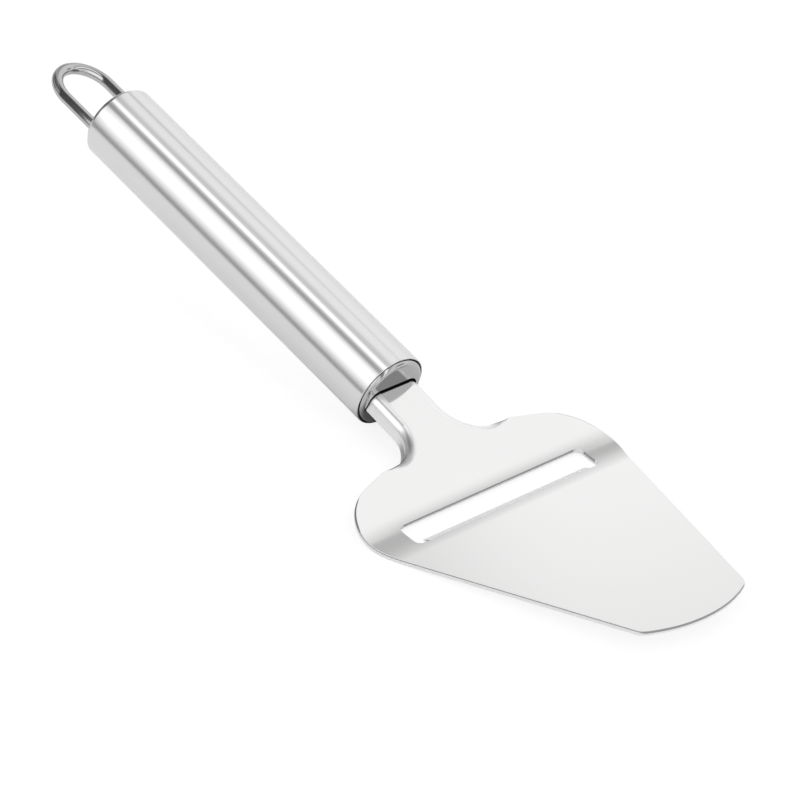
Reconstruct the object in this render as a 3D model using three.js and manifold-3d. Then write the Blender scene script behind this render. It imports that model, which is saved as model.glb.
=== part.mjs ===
// A cheese spatula, also called a cheese plane, made wholly of stainless steel.
// A stamped and bent blade with a ground cutting slot runs back through a channel-shaped neck
// into a round hollow handle. Pressed cups close both ends of the handle, and a bent wire behind
// it hangs the tool on a hook. Millimetres throughout, +Z up, +Y towards the blade's tip.
import * as THREE from "three";
import { mergeVertices } from "three/addons/utils/BufferGeometryUtils.js";
import Module from "manifold-3d";

const wasm = await Module();
wasm.setup();

// Handle tube
const TUBE_DIAMETER = 20;
const TUBE_WALL = 0.5;
const TUBE_LENGTH = 107;
const TUBE_EDGE_ROUND = 0.25;

// End cups, pressed into the tube with their faces a little proud of its ends
const CUP_SHEET = 0.7;
const CUP_DEPTH = 6;
const CUP_SHOULDER = 1.3;
const FRONT_PROUD = 0.95;
const REAR_PROUD = 1.4;
const CUP_FIT = 0.1;

// Blade sheet, and how it meets the handle
const SHEET = 1.2;
const NECK_RISE = 2.2;
const NECK_TILT = THREE.MathUtils.degToRad(2.3);
const TANG_LENGTH = 22;

// Neck: a flat top with a flange folded down along each side
const NECK_FLAT = 9.2;
const NECK_LENGTH = 10.3;
const FLANGE_DROP = 4.25;
const FLANGE_FOLD = THREE.MathUtils.degToRad(74);
const FLANGE_INSIDE_BEND = 1.55;
const FLANGE_EDGE = 2.08;
const FLANGE_TAIL = 1.2;
const SLIT_CLEARANCE = 0.25;
const SLIT_ABOVE = 0.72;

// Concave corner between neck and shoulder, ending in a cusp where the flange has faded out
const CORNER_RADIUS = 11.2;
const CORNER_FOLD = THREE.MathUtils.degToRad(84);
const STEEPEN_ANGLE = THREE.MathUtils.degToRad(150);
const CUSP_ANGLE = THREE.MathUtils.degToRad(78.5);
const FADE_ANGLE = THREE.MathUtils.degToRad(125);

// Blade outline, measured along the flat blank from the front end of the tube
const BLADE_WIDTH = 77.6;
const SHOULDER_RADIUS = 15;
const WIDEST_AT = 38;
const TAPER = THREE.MathUtils.degToRad(19.3);
const TIP_AT = 107.8;
const TIP_RADIUS = 34;
const TIP_CORNER = 3;

// Valley bend across the blade, on the line of the cutting slot
const CREASE_AT = 40.05;
const CREASE_ANGLE = THREE.MathUtils.degToRad(20.6);
const CREASE_RADIUS = 40;

// Cutting slot: its back edge is plain, its front edge is ground to a sharp lip
const SLOT_LENGTH = 58.4;
const SLOT_BACK = 36.75;
const SLOT_FRONT = 44.25;
const SLOT_CORNER = 1.8;
const LIP_LENGTH = 51.8;
const LIP_REACH = 2.05;
const LIP_LAND = 0.12;

// Hanging loop of round wire
const WIRE_DIAMETER = 3;
const LOOP_STRAIGHT = 11.7;
const LOOP_BOW = 9.1;
const LOOP_INSIDE = 3;
const LEG_CLEARANCE = 0.45;
const HOLE_CLEARANCE = 0.1;

// Weld beads inside the handle
const TANG_BEAD = 2;
const TANG_BEAD_LENGTH = 8;
const LOOP_BEAD = 1.6;
const BEAD_GAP = 0.3;

// Smoothness of round stretches
const ROUND_STEPS = 64;
const ARC_STEPS = 7;
const FOLD_STEPS = 5;
const CORNER_STEPS = 18;
const CREASE_STEPS = 8;
const WIRE_SIDES = 14;
const WIRE_STEPS = 44;

const tubeRadius = TUBE_DIAMETER / 2;
const boreRadius = tubeRadius - TUBE_WALL;
const QUARTER = Math.PI / 2;
const CUT_MARGIN = 1;
const ACROSS = new THREE.Vector3(1, 0, 0);
const ALONG = new THREE.Vector3(0, 1, 0);
const UP = new THREE.Vector3(0, 0, 1);

const brushed = { color: 0xe4e4e2, roughness: 0.34, metalness: 1 };
const polished = { color: 0xd6d7d8, roughness: 0.22, metalness: 1 };
const mirror = { color: 0xcfd0d2, roughness: 0.1, metalness: 1 };
const welded = { color: 0x8d8b86, roughness: 0.55, metalness: 1 };

function piece(name, geometry, finish) {
  const mesh = new THREE.Mesh(geometry, new THREE.MeshStandardMaterial(finish));
  mesh.name = name;
  return mesh;
}

// Joining and cutting of closed geometries.
function solid(geometry) {
  const bare = new THREE.BufferGeometry().setAttribute("position", geometry.getAttribute("position"));
  bare.setIndex(geometry.index);
  const merged = mergeVertices(bare, 1e-4);
  const vertProperties = new Float32Array(merged.getAttribute("position").array);
  const triVerts = new Uint32Array(merged.index.array);
  return new wasm.Manifold(new wasm.Mesh({ numProp: 3, vertProperties, triVerts }));
}

function geometryOf(shape) {
  const { vertProperties, triVerts } = shape.getMesh();
  const geometry = new THREE.BufferGeometry();
  geometry.setAttribute("position", new THREE.BufferAttribute(new Float32Array(vertProperties), 3));
  geometry.setIndex(new THREE.BufferAttribute(new Uint32Array(triVerts), 1));
  return geometry;
}

// A prism of a flat outline in (across, up), running along the handle from one place to another.
function prismAlongHandle(outline, from, to) {
  const prism = new THREE.ExtrudeGeometry(outline, { depth: to - from, bevelEnabled: false });
  prism.applyMatrix4(new THREE.Matrix4().makeBasis(ACROSS, UP, ALONG.clone().negate()));
  return prism.translate(0, to, 0);
}

// A prism of a flat outline in (along, up), running across the tool and centred on it.
function prismAcross(outline, length) {
  const prism = new THREE.ExtrudeGeometry(outline, { depth: length, bevelEnabled: false });
  prism.applyMatrix4(new THREE.Matrix4().makeBasis(ALONG, UP, ACROSS));
  return prism.translate(-length / 2, 0, 0);
}

// Gives a surface of triangles its thickness: the outer skin, the inner skin and the edges between.
function thicken(triangles, outer, inner) {
  const positions = [...outer, ...inner].flatMap((p) => p.toArray());
  const under = outer.length;
  const edges = new Set();
  const faces = [];
  for (const [a, b, c] of triangles) {
    faces.push(a, b, c, c + under, b + under, a + under);
    for (const [from, to] of [[a, b], [b, c], [c, a]]) edges.add(from + " " + to);
  }
  for (const edge of edges) {
    const [from, to] = edge.split(" ").map(Number);
    if (edges.has(to + " " + from)) continue;
    faces.push(from + under, to + under, to, from + under, to, from);
  }
  const geometry = new THREE.BufferGeometry();
  geometry.setAttribute("position", new THREE.Float32BufferAttribute(positions, 3));
  geometry.setIndex(faces);
  return geometry;
}

// Splits flat triangles along the line y = level, so that a bend there has vertices to turn.
function splitAlong(triangles, level) {
  const crossing = (a, b) => {
    const [low, high] = a.y < b.y ? [a, b] : [b, a];
    const share = (level - low.y) / (high.y - low.y);
    return new THREE.Vector2(low.x + (high.x - low.x) * share, level);
  };
  const part = (corners, keep) => {
    const kept = [];
    corners.forEach((corner, i) => {
      const next = corners[(i + 1) % corners.length];
      if (keep * (corner.y - level) >= 0) kept.push(corner);
      if ((corner.y - level) * (next.y - level) < 0) kept.push(crossing(corner, next));
    });
    return kept;
  };
  return triangles.flatMap((corners) => {
    const heights = corners.map((corner) => corner.y - level);
    if (Math.min(...heights) >= 0 || Math.max(...heights) <= 0) return [corners];
    return [part(corners, 1), part(corners, -1)].flatMap((ring) =>
      ring.slice(2).map((corner, i) => [ring[0], ring[i + 1], corner]),
    );
  });
}

// The blank is bent up about the crease: (across, along, above the top skin) to a place in space.
const creaseHalf = CREASE_RADIUS * Math.tan(CREASE_ANGLE / 2);
const bendStart = CREASE_AT - creaseHalf;
const bendEnd = bendStart + CREASE_RADIUS * CREASE_ANGLE;

function bent(x, along, above) {
  const turn = THREE.MathUtils.clamp((along - bendStart) / CREASE_RADIUS, 0, CREASE_ANGLE);
  const flat = Math.min(along, bendStart);
  const past = Math.max(along - bendEnd, 0);
  const reach = CREASE_RADIUS - above;
  return new THREE.Vector3(
    x,
    flat + reach * Math.sin(turn) + past * Math.cos(turn),
    CREASE_RADIUS - reach * Math.cos(turn) + past * Math.sin(turn),
  );
}

// Neck, concave corner and cusp, on the side of +X.
const flatHalf = NECK_FLAT / 2;
const corner = new THREE.Vector2(flatHalf + FLANGE_EDGE + CORNER_RADIUS, NECK_LENGTH);
const fromCorner = (angle, radius) =>
  new THREE.Vector2(Math.cos(angle), Math.sin(angle)).multiplyScalar(radius).add(corner);

// Section of a folded flange in (outward, up), from the edge of the flat: bend, then straight.
const flangeBend = FLANGE_INSIDE_BEND + SHEET;
const straightFor = (fold) => (FLANGE_DROP - flangeBend * (1 - Math.cos(fold))) / Math.sin(fold);

function flangeSkin(skinRadius, fold, straight) {
  const row = [];
  for (let i = 0; i <= FOLD_STEPS; i++) {
    const turn = (fold * i) / FOLD_STEPS;
    const up = skinRadius * Math.cos(turn) - flangeBend;
    row.push(new THREE.Vector2(skinRadius * Math.sin(turn), up));
  }
  const down = new THREE.Vector2(Math.cos(fold), -Math.sin(fold));
  row.push(row[FOLD_STEPS].clone().addScaledVector(down, straight));
  return row;
}

// Stations of one flange, on the side of +X: from just inside the handle, along the neck and round
// the corner to the cusp. The fold is steeper in the corner; past FADE_ANGLE it opens out, the
// flange shortening faster still, until at the cusp the sheet is flat.
const stations = [-FLANGE_TAIL, NECK_LENGTH / 2].map((along) => ({
  start: new THREE.Vector2(flatHalf, along),
  outward: new THREE.Vector2(1, 0),
  fold: FLANGE_FOLD,
  straight: straightFor(FLANGE_FOLD),
}));
for (let i = 0; i <= CORNER_STEPS; i++) {
  const angle = THREE.MathUtils.lerp(Math.PI, CUSP_ANGLE, i / CORNER_STEPS);
  const steeper = 1 - THREE.MathUtils.smoothstep(angle, STEEPEN_ANGLE, Math.PI);
  const full = THREE.MathUtils.lerp(FLANGE_FOLD, CORNER_FOLD, steeper);
  const left = THREE.MathUtils.smoothstep(angle, CUSP_ANGLE, FADE_ANGLE);
  const edge = (FLANGE_EDGE * Math.sin(full * left)) / Math.sin(full);
  stations.push({
    start: fromCorner(angle, CORNER_RADIUS + edge),
    outward: new THREE.Vector2(-Math.cos(angle), -Math.sin(angle)),
    fold: full * left,
    straight: straightFor(full) * left ** 8,
  });
}

// Right-hand half of the flat blank: tang, neck, corner, cusp, shoulder, taper and tip.
function halfOutline() {
  const cusp = stations.at(-1).start;
  const shoulder = new THREE.Vector2(BLADE_WIDTH / 2 - SHOULDER_RADIUS, WIDEST_AT);
  const toCusp = cusp.clone().sub(shoulder);
  const shoulderStart = toCusp.angle() + Math.acos(SHOULDER_RADIUS / toCusp.length());

  const side = new THREE.Vector2(-Math.sin(TAPER), Math.cos(TAPER));
  const inward = new THREE.Vector2(-Math.cos(TAPER), -Math.sin(TAPER));
  const tip = new THREE.Vector2(0, TIP_AT - TIP_RADIUS);
  const track = shoulder.clone().addScaledVector(inward, TIP_CORNER - SHOULDER_RADIUS);
  const fromTip = track.clone().sub(tip);
  const lead = fromTip.dot(side);
  const run = Math.sqrt(lead ** 2 - fromTip.lengthSq() + (TIP_RADIUS - TIP_CORNER) ** 2) - lead;
  const round = track.addScaledVector(side, run);
  const roundEnd = round.clone().sub(tip).angle();

  const half = new THREE.Path();
  half.moveTo(flatHalf, -TANG_LENGTH);
  stations.forEach(({ start }) => half.lineTo(start.x, start.y));
  half.absarc(shoulder.x, shoulder.y, SHOULDER_RADIUS, shoulderStart, TAPER, false);
  half.absarc(round.x, round.y, TIP_CORNER, TAPER, roundEnd, false);
  half.absarc(tip.x, tip.y, TIP_RADIUS, roundEnd, QUARTER, false);
  return half.getPoints(ARC_STEPS);
}

// Slot in the blank: round corners, and a lip that stands back into it between two reliefs.
function slotOutline() {
  const end = SLOT_LENGTH / 2;
  const lip = LIP_LENGTH / 2;
  const half = new THREE.Path();
  half.moveTo(0, SLOT_BACK);
  half.absarc(end - SLOT_CORNER, SLOT_BACK + SLOT_CORNER, SLOT_CORNER, -QUARTER, 0, false);
  half.absarc(end - SLOT_CORNER, SLOT_FRONT - SLOT_CORNER, SLOT_CORNER, 0, QUARTER, false);
  half.lineTo(lip, SLOT_FRONT);
  half.lineTo(lip, SLOT_FRONT - LIP_REACH);
  half.lineTo(0, SLOT_FRONT - LIP_REACH);
  return half.getPoints(ARC_STEPS);
}

function mirrored(half) {
  const inside = half.filter((point) => point.x > 1e-6);
  const other = inside.map((point) => new THREE.Vector2(-point.x, point.y)).reverse();
  const whole = half.concat(other);
  return whole.filter((point, i) => i === 0 || point.distanceTo(whole[i - 1]) > 1e-6);
}

// Triangles of the flat blank, split on the bend.
function blankTriangles() {
  const blank = new THREE.Shape(mirrored(halfOutline()));
  blank.holes.push(new THREE.Path(mirrored(slotOutline())));
  const flat = new THREE.ShapeGeometry(blank);
  const spots = flat.getAttribute("position");
  const at = (i) => new THREE.Vector2(spots.getX(i), spots.getY(i));
  let triangles = [];
  for (let i = 0; i < flat.index.count; i += 3) {
    triangles.push([0, 1, 2].map((k) => at(flat.index.getX(i + k))));
  }
  for (let i = 0; i <= CREASE_STEPS; i++) {
    triangles = splitAlong(triangles, THREE.MathUtils.lerp(bendStart, bendEnd, i / CREASE_STEPS));
  }
  return triangles;
}

// The sheet as one skin: the bent plate, and a folded flange growing out of each side of the neck.
function sheetGeometry() {
  const numbers = new Map();
  const outer = [];
  const inner = [];
  const numberOf = (top, under) => {
    const key = top.toArray().map((value) => value.toFixed(3)).join(" ");
    if (!numbers.has(key)) {
      numbers.set(key, outer.length);
      outer.push(top);
      inner.push(under);
    }
    return numbers.get(key);
  };

  const triangles = blankTriangles().map((corners) =>
    corners.map(({ x, y }) => numberOf(bent(x, y, 0), bent(x, y, -SHEET))),
  );
  for (const side of [1, -1]) {
    const rows = stations.map(({ start, outward, fold, straight }) => {
      const place = (point) => {
        const spot = start.clone().addScaledVector(outward, point.x);
        return new THREE.Vector3(side * spot.x, spot.y, point.y);
      };
      const under = flangeSkin(FLANGE_INSIDE_BEND, fold, straight);
      return flangeSkin(flangeBend, fold, straight).map((point, j) =>
        numberOf(place(point), place(under[j])),
      );
    });
    for (let i = 0; i + 1 < rows.length; i++) {
      for (let j = 0; j <= FOLD_STEPS; j++) {
        const [a, b, c, d] = [rows[i][j], rows[i][j + 1], rows[i + 1][j + 1], rows[i + 1][j]];
        const pair = [[a, b, c], [a, c, d]];
        triangles.push(...pair.map((three) => (side > 0 ? three : three.reverse())));
      }
    }
  }
  return thicken(triangles.filter(([a, b, c]) => a !== b && b !== c && c !== a), outer, inner);
}

// The lip is ground from the top skin at the slot's front edge down to the sheet's underside.
function lipGrinding() {
  const top = bent(0, SLOT_FRONT, 0);
  const edge = bent(0, SLOT_FRONT - LIP_REACH, LIP_LAND - SHEET);
  const past = edge.clone().sub(top).setLength(CUT_MARGIN).add(edge);
  const wedge = new THREE.Shape();
  wedge.moveTo(top.y, top.z);
  wedge.lineTo(past.y, past.z + 2 * SHEET);
  wedge.lineTo(past.y, past.z);
  return prismAcross(wedge, LIP_LENGTH + SLOT_CORNER);
}

function bladeGeometry() {
  return geometryOf(solid(sheetGeometry()).subtract(solid(lipGrinding())));
}

// Handle tube, its front end at y = 0, with the edges of both ends eased.
function tubeGeometry() {
  const profile = new THREE.Path();
  const round = tubeRadius - TUBE_EDGE_ROUND;
  profile.moveTo(boreRadius, -TUBE_LENGTH);
  profile.lineTo(round, -TUBE_LENGTH);
  profile.absarc(round, TUBE_EDGE_ROUND - TUBE_LENGTH, TUBE_EDGE_ROUND, -QUARTER, 0, false);
  profile.absarc(round, -TUBE_EDGE_ROUND, TUBE_EDGE_ROUND, 0, QUARTER, false);
  profile.lineTo(boreRadius, 0);
  profile.lineTo(boreRadius, -TUBE_LENGTH);
  return new THREE.LatheGeometry(profile.getPoints(2), ROUND_STEPS);
}

// A drawn cup, open downwards, its flat face at y = 0 and its skirt sized to slide into the tube.
const skirtRadius = boreRadius - CUP_FIT;
const skirtInside = skirtRadius - CUP_SHEET;
const faceRadius = skirtRadius - CUP_SHOULDER;

function cupGeometry() {
  const profile = new THREE.Path();
  profile.moveTo(0, -CUP_SHEET);
  profile.lineTo(faceRadius, -CUP_SHEET);
  profile.absarc(faceRadius, -CUP_SHOULDER, CUP_SHOULDER - CUP_SHEET, QUARTER, 0, true);
  profile.lineTo(skirtInside, -CUP_DEPTH);
  profile.lineTo(skirtRadius, -CUP_DEPTH);
  profile.absarc(faceRadius, -CUP_SHOULDER, CUP_SHOULDER, 0, QUARTER, false);
  profile.lineTo(0, 0);
  return new THREE.LatheGeometry(profile.getPoints(3), ROUND_STEPS);
}

// The blade enters the handle at NECK_RISE above its axis, its neck tipped down a little.
const neck = new THREE.Group();
neck.rotation.x = -NECK_TILT;
neck.position.z = NECK_RISE;
neck.updateMatrix();

// Slit in the front cup: the neck's channel section, grown by its clearance.
function slitGeometry() {
  const raise = SLIT_ABOVE - SLIT_CLEARANCE;
  const straight = straightFor(FLANGE_FOLD) + SLIT_CLEARANCE;
  const outer = flangeSkin(flangeBend + SLIT_CLEARANCE, FLANGE_FOLD, straight + raise);
  outer.forEach((point) => point.setY(point.y + raise));
  const inner = flangeSkin(FLANGE_INSIDE_BEND - SLIT_CLEARANCE, FLANGE_FOLD, straight);
  const shifted = (row, side) =>
    row.map((point) => new THREE.Vector2(side * (flatHalf + point.x), point.y));
  const section = new THREE.Shape([
    ...shifted(outer, 1),
    ...shifted(inner, 1).reverse(),
    ...shifted(inner, -1),
    ...shifted(outer, -1).reverse(),
  ]);
  return prismAlongHandle(section, -CUP_SHOULDER, FRONT_PROUD + CUT_MARGIN);
}

function frontCupGeometry() {
  const slit = slitGeometry().applyMatrix4(neck.matrix).translate(0, -FRONT_PROUD, 0);
  return geometryOf(solid(cupGeometry()).subtract(solid(slit)));
}

// The loop's legs stand just inside the rear cup's skirt, one on each side.
const wireRadius = WIRE_DIAMETER / 2;
const legOffset = skirtInside - LEG_CLEARANCE - wireRadius;

// The rear cup and the loop are measured from the cup's face, outwards being +Y.
function rearCupGeometry() {
  const holeRadius = wireRadius + HOLE_CLEARANCE;
  let drilled = solid(cupGeometry());
  for (const side of [-1, 1]) {
    const hole = new THREE.CylinderGeometry(holeRadius, holeRadius, CUP_DEPTH, ROUND_STEPS / 2);
    drilled = drilled.subtract(solid(hole.translate(side * legOffset, 0, 0)));
  }
  return geometryOf(drilled);
}

// Wire path: up one leg, round the bow and down the other leg.
class LoopPath extends THREE.Curve {
  getPoint(t, target = new THREE.Vector3()) {
    const leg = LOOP_INSIDE + CUP_SHEET + LOOP_STRAIGHT;
    const foot = -CUP_SHEET - LOOP_INSIDE;
    const third = 3 * t;
    if (third < 1) return target.set(legOffset, foot + leg * third, 0);
    if (third > 2) return target.set(-legOffset, foot + leg * (3 - third), 0);
    const turn = Math.PI * (third - 1);
    return target.set(legOffset * Math.cos(turn), foot + leg + LOOP_BOW * Math.sin(turn), 0);
  }
}

function loopGeometry() {
  const round = new THREE.Shape();
  round.absarc(0, 0, wireRadius, 0, 2 * Math.PI, false);
  return new THREE.ExtrudeGeometry(round, {
    extrudePath: new LoopPath(),
    steps: WIRE_STEPS,
    curveSegments: WIRE_SIDES / 2,
    bevelEnabled: false,
  });
}

// Quarter-round beads: straight ones along the tang, and one ring round each leg of the loop.
function quarterRound(radius, x, y, turnX, turnY) {
  const bead = new THREE.Shape();
  bead.moveTo(x, y);
  for (let i = 0; i <= ARC_STEPS; i++) {
    const turn = (QUARTER * i) / ARC_STEPS;
    bead.lineTo(x + turnX * radius * Math.cos(turn), y + turnY * radius * Math.sin(turn));
  }
  return bead;
}

function tangBeadGeometry(up) {
  const seat = up > 0 ? BEAD_GAP : -SHEET - BEAD_GAP;
  const behindCup = FRONT_PROUD - CUP_SHEET - BEAD_GAP;
  return prismAcross(quarterRound(TANG_BEAD, behindCup, seat, -1, up), TANG_BEAD_LENGTH);
}

// A ring keeps to the flat of the cup's face, so each one is open on its outer side.
function loopBeadGeometry(side) {
  const points = quarterRound(LOOP_BEAD, wireRadius + BEAD_GAP, 0, 1, -1).getPoints();
  points.push(points[0].clone());
  const ring = new THREE.LatheGeometry(points.reverse(), ROUND_STEPS / 2);
  ring.translate(side * legOffset, -CUP_SHEET - BEAD_GAP, 0);
  const flat = new THREE.CylinderGeometry(faceRadius, faceRadius, 2 * CUP_DEPTH, ROUND_STEPS);
  return geometryOf(solid(ring).intersect(solid(flat)));
}

const blade = piece("blade", bladeGeometry(), brushed);
neck.add(blade);
neck.add(piece("tang_weld_upper", tangBeadGeometry(1), welded));
neck.add(piece("tang_weld_lower", tangBeadGeometry(-1), welded));

const tube = piece("handle_tube", tubeGeometry(), polished);
const frontCup = piece("front_cap", frontCupGeometry(), mirror);
frontCup.position.y = FRONT_PROUD;

const rear = new THREE.Group();
rear.add(piece("rear_cap", rearCupGeometry(), mirror));
rear.add(piece("hanging_loop", loopGeometry(), mirror));
rear.add(piece("loop_weld_left", loopBeadGeometry(1), welded));
rear.add(piece("loop_weld_right", loopBeadGeometry(-1), welded));
rear.rotation.x = Math.PI;
rear.position.y = -TUBE_LENGTH - REAR_PROUD;

const tool = new THREE.Group();
tool.add(neck, tube, frontCup, rear);

// Laid on a table, the tool tips forward until the tube's front edge and the valley both touch.
function tipForward() {
  const lowest = (mesh) => new THREE.Box3().setFromObject(mesh, true).min.z;
  let [level, steep] = [0, QUARTER / 2];
  for (let i = 0; i < 40; i++) {
    const middle = (level + steep) / 2;
    tool.rotation.x = -middle;
    tool.updateMatrixWorld();
    if (lowest(blade) > lowest(tube)) level = middle;
    else steep = middle;
  }
}

// At rest the lowest points are at Z = 0, with the origin under the middle of the tool's box.
tipForward();
const box = new THREE.Box3().setFromObject(tool, true);
tool.position.set(0, -(box.min.y + box.max.y) / 2, -box.min.z);

const cheeseSpatula = new THREE.Group();
cheeseSpatula.add(tool);

export default cheeseSpatula;
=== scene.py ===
# %% [markdown]
# # A steel cheese spatula
# The tool is made wholly of stainless steel: a stamped blade with a ground slot, a neck folded to
# a channel, a round tube for a handle, two pressed end cups and a wire loop to hang it by.
# The measured model is loaded first, as a fixed frame. Every piece made below lies where that
# frame says, in metres, and stands in for the plain solid of the same name.

from math import acos, atan2, cos, hypot, pi, radians, sin, sqrt, tan

import bmesh
import bpy
from mathutils import Matrix, Vector
from mathutils.geometry import delaunay_2d_cdt


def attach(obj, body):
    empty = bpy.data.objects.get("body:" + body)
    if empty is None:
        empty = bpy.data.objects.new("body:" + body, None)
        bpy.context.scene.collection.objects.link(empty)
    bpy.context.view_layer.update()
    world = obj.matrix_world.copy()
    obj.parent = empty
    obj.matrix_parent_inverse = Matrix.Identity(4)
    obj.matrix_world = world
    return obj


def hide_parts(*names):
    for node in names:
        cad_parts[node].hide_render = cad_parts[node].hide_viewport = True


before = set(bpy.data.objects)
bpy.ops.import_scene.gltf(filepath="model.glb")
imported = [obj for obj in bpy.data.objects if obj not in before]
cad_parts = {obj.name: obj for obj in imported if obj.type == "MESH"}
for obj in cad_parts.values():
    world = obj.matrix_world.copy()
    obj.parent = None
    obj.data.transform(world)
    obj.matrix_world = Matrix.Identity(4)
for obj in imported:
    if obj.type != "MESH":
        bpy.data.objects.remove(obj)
scene = bpy.context.scene
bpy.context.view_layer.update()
print("solids:", sorted(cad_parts))

# %% [markdown]
# ## Where the tool lies
# A maker measures this tool along its handle: across is X, towards the tip is Y, and zero is the
# front end of the tube. On a table the tool tips forward until the tube's edge and the valley of
# the blade both touch. One matrix takes handle millimetres to table metres, so each piece can be
# made in the maker's own measures. The neck enters the tube a little above its axis, tipped down.

# %% From handle millimetres to the table
REST_PITCH = radians(13.716)
FRONT_END = Vector((0, 10.1064, 9.6597))
NECK_RISE = 2.2
NECK_TILT = radians(2.3)
MM = 0.001

on_table = (Matrix.Scale(MM, 4) @ Matrix.Translation(FRONT_END)
            @ Matrix.Rotation(-REST_PITCH, 4, "X"))
at_neck = on_table @ Matrix.Translation((0, 0, NECK_RISE)) @ Matrix.Rotation(-NECK_TILT, 4, "X")
print("front end of the tube:", [round(v, 5) for v in on_table.translation])

# %% [markdown]
# ## The camera
# The photographer stood about a metre away with a long lens, looking down over the blade's right
# side. A long lens keeps the tube's edges nearly parallel. The camera is placed in the handle's
# measures and turned by its right, up and back directions, then taken to the table like the rest.

# %% Camera
CAMERA_AT = Vector((599.133, 458.475, 659.100))
CAMERA_RIGHT = Vector((-0.738373, 0.632045, 0.235213))
CAMERA_UP = Vector((-0.309470, -0.627439, 0.714526))
FOCAL_PIXELS = 4211.71
IMAGE_PIXELS = 800
SENSOR = 36
CLIP_END = 50

lens = bpy.data.cameras.new("camera")
lens.sensor_width = SENSOR
lens.lens = FOCAL_PIXELS / IMAGE_PIXELS * SENSOR
lens.clip_end = CLIP_END
camera = bpy.data.objects.new("camera", lens)
scene.collection.objects.link(camera)
upright = Matrix.Rotation(-REST_PITCH, 3, "X")
back = CAMERA_RIGHT.cross(CAMERA_UP)
turned = upright @ Matrix((CAMERA_RIGHT, CAMERA_UP, back)).transposed()
camera.matrix_world = Matrix.Translation(on_table @ CAMERA_AT) @ turned.to_4x4()
scene.camera = camera
print("camera at", [round(v, 3) for v in camera.matrix_world.translation])

# %% [markdown]
# ## Wiring nodes
# Materials, Geometry Nodes and the light all use node trees. One small helper adds a node, sets
# its options and fills its sockets, either with a value or with a link from another node, so the
# trees below read like short recipes. Another starts an empty group with its named sockets.

# %% Node helpers
def add(tree, kind, sockets=None, **options):
    node = tree.nodes.new(kind if kind.startswith("Geometry") else "ShaderNode" + kind)
    for name, value in options.items():
        setattr(node, name, value)
    for key, value in (sockets or {}).items():
        socket = node.inputs[key]
        if isinstance(value, bpy.types.NodeSocket):
            tree.links.new(value, socket)
        else:
            socket.default_value = value
    return node


def out(tree, kind, sockets=None, **options):
    """The first output of a new node."""
    return add(tree, kind, sockets, **options).outputs[0]


def math_node(tree, operation, *values):
    return out(tree, "Math", dict(enumerate(values)), operation=operation)


def times(tree, product, *others):
    for other in others:
        product = math_node(tree, "MULTIPLY", product, other)
    return product


def new_group(name, kind, inputs, outputs):
    """An empty node group, its inputs to read from and its outputs to link to."""
    tree = bpy.data.node_groups.new(name, kind)
    for way, sockets in (("INPUT", inputs), ("OUTPUT", outputs)):
        for label, content in sockets.items():
            tree.interface.new_socket(label, in_out=way, socket_type="NodeSocket" + content)
    return (tree, tree.nodes.new("NodeGroupInput").outputs,
            tree.nodes.new("NodeGroupOutput").inputs)


# %% [markdown]
# ## Effects that several finishes share
# Steel that has been ground or drawn carries fine lines along its length, and steel that has been
# handled is never evenly bright: soft cloudy patches show where it was polished a little more.
# Both are node groups, made once. They measure the surface along the handle, whatever way the
# tool lies, because a Mapping node takes the table's coordinates back to the handle's.

# %% Shared shader groups
LINE_DETAIL, CLOUD_DETAIL = 4, 3
MIDDLE = 0.5


def handle_coordinates(tree):
    place = add(tree, "TexCoord").outputs["Object"]
    sockets = {"Vector": place, "Location": FRONT_END * MM, "Rotation": (-REST_PITCH, 0, 0)}
    return add(tree, "Mapping", sockets, vector_type="TEXTURE").outputs["Vector"]


def fine_lines_group():
    tree, given, made = new_group(
        "fine_lines", "ShaderNodeTree", {"Lines per metre": "Float", "Stretch": "Float"},
        {"Height": "Float"})
    across = given["Lines per metre"]
    along = math_node(tree, "DIVIDE", across, given["Stretch"])
    size = out(tree, "CombineXYZ", {"X": across, "Y": along, "Z": across})
    spot = out(tree, "VectorMath", {0: handle_coordinates(tree), 1: size}, operation="MULTIPLY")
    noise = out(tree, "TexNoise", {"Vector": spot, "Scale": 1, "Detail": LINE_DETAIL})
    tree.links.new(noise, made["Height"])
    return tree


def clouds_group():
    tree, given, made = new_group(
        "polishing_clouds", "ShaderNodeTree", {"Clouds per metre": "Float", "Contrast": "Float"},
        {"Cloud": "Float"})
    noise = out(tree, "TexNoise", {"Vector": handle_coordinates(tree), "Detail": CLOUD_DETAIL,
                                   "Scale": given["Clouds per metre"]})
    scaled = times(tree, math_node(tree, "SUBTRACT", noise, MIDDLE), given["Contrast"])
    tree.links.new(math_node(tree, "ADD", scaled, MIDDLE), made["Cloud"])
    return tree


fine_lines = fine_lines_group()
polishing_clouds = clouds_group()
print("shared effects:", fine_lines.name, polishing_clouds.name)

# %% [markdown]
# ## Finishes
# All of it is bare steel, so every finish is the same Principled BSDF and differs in how it was
# worked. The blade is polished fine and only blurs a little what it reflects. Its folded flanges
# came duller out of the press, and along the near fold a darker band is painted shade. A stamped
# edge is dull where the sheet tore and bright where the punch sheared it; the dull band is partly
# painted shade. The lip is ground so matt that it mirrors nothing, and only it is set hardly
# metallic. The tube is drawn and polished along its length. The cups and the wire are close to a
# mirror. Inside the handle nobody polishes anything: the bore, the tube's sawn ends, the cups'
# backs and the tang keep the dark skin of the mill. This near-black finish is also painted shade
# in the seam ring at the tube's ends, in the cut slit and holes and on the neck just in front of
# the cup. The beads are left as welded, dull and straw-coloured.

# %% Steel finishes
LINES_SHARE = 0.5
WORN = (0.2, 0.8)
GRAIN_STRENGTH = 0.5
WARM = 0.005
BLADE_GRAIN = ((5000, 30), (45, 1.2), 0.002)


def grey(level, warm=0):
    return level, level, level - warm


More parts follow.
